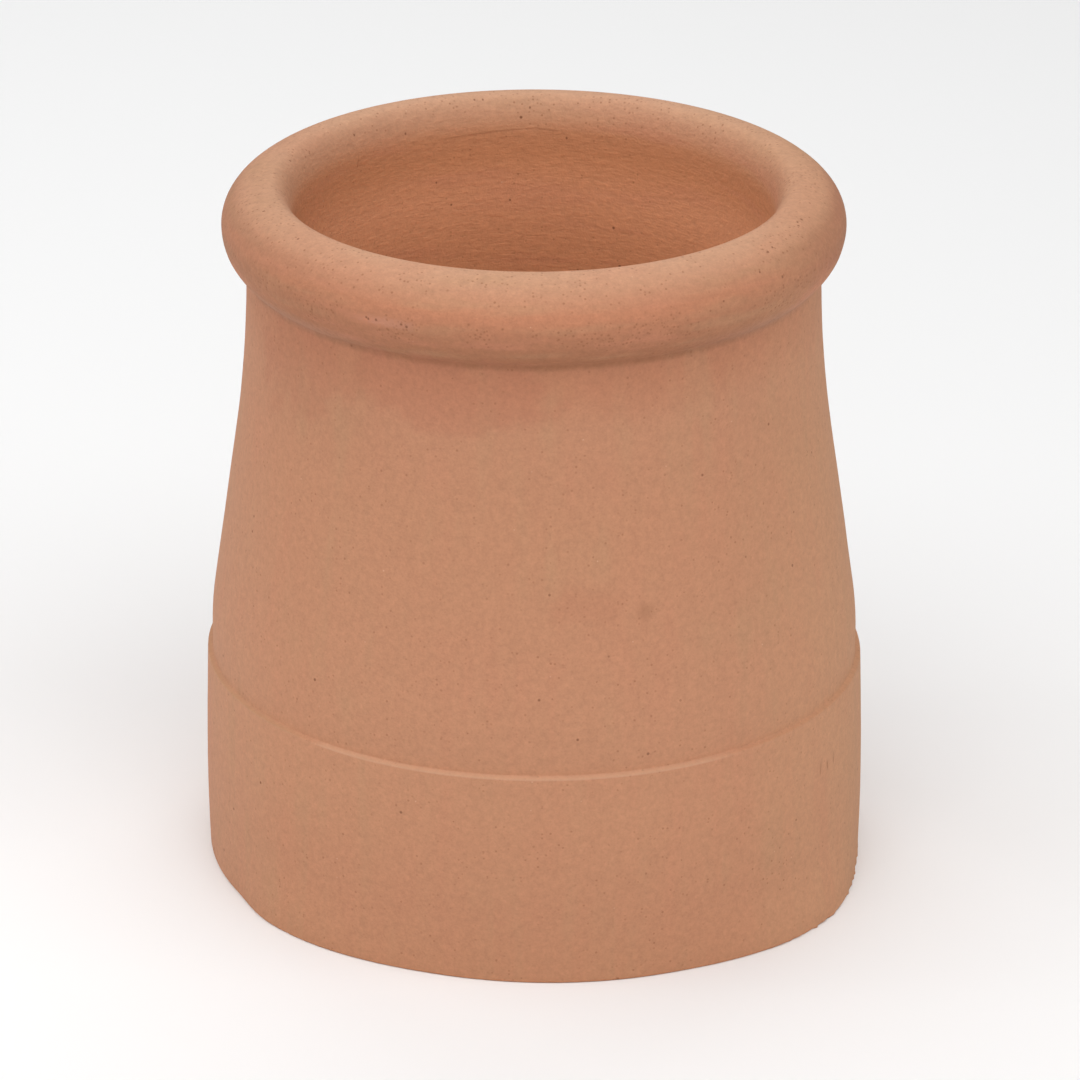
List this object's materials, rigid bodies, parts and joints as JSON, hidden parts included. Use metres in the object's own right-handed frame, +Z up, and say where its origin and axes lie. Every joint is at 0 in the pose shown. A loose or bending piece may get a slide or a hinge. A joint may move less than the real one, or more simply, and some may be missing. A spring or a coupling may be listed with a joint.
{
  "type": "chimney pot",
  "caption": "Roll-top chimney pot of fired clay: an open tapering tube with a plain band at the foot that ends in a narrow ledge, and a thick rolled rim round the mouth.",
  "frame": {"origin": "centre of the flat foot, on the surface that the pot stands on", "axes": "+Z up along the flue, from the foot to the rolled rim; the pot leans 1.4 degrees towards -X, because its foot was cut a little out of square"},
  "size_m": [0.2792, 0.2786, 0.3026],
  "materials": {
    "fired_clay": "matt unglazed buff-orange terracotta with fine dark pores and pale grog"
  },
  "bodies": {
    "root": {"chimney_pot": "fired_clay"}
  },
  "joints": []
}
